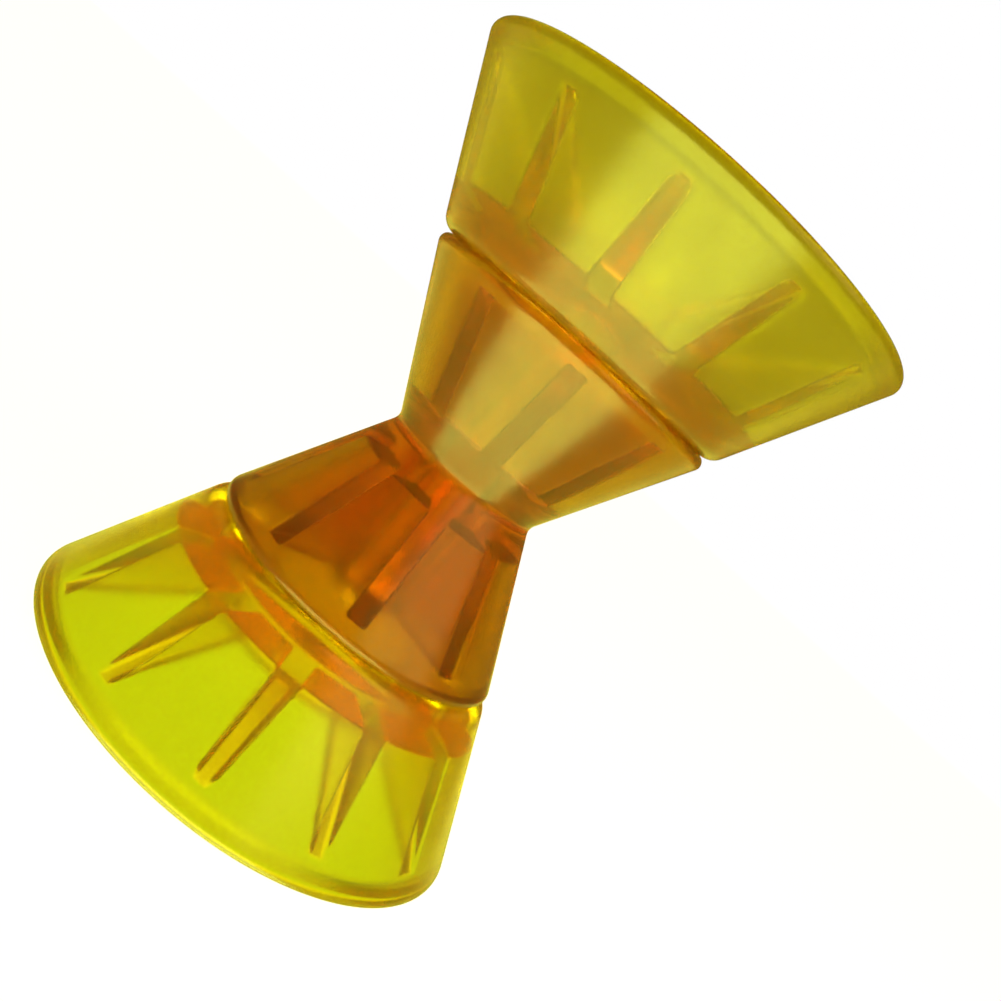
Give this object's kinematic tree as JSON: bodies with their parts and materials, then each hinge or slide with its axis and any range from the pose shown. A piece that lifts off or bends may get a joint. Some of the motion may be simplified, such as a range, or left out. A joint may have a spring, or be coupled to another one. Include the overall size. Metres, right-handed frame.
{
  "type": "boat trailer roller",
  "caption": "Waisted keel roller of translucent amber plastic: a spool with a ribbed hollow in each end, between flared ribbed end bells, all bored for one shaft.",
  "frame": {"origin": "centre of the lower bell's rim face, on the surface that the roller stands on", "axes": "+Z along the bore, from the lower bell to the upper bell; +X through a rib of the spool"},
  "size_m": [0.117, 0.117, 0.1548],
  "materials": {
    "bell_plastic": "satin, translucent yellow",
    "spool_plastic": "satin, translucent amber"
  },
  "bodies": {
    "lower_bell": {"lower_bell": "bell_plastic"},
    "centre_spool": {"centre_spool": "spool_plastic"},
    "upper_bell": {"upper_bell": "bell_plastic"}
  },
  "joints": [
    {"name": "spool_spin", "type": "hinge", "parent": "lower_bell", "child": "centre_spool", "pos_m": [0, 0, 0.0774], "axis": [0, 0, 1], "continuous": true},
    {"name": "upper_bell_spin", "type": "hinge", "parent": "centre_spool", "child": "upper_bell", "pos_m": [0, 0, 0.1217], "axis": [0, 0, 1], "continuous": true}
  ]
}
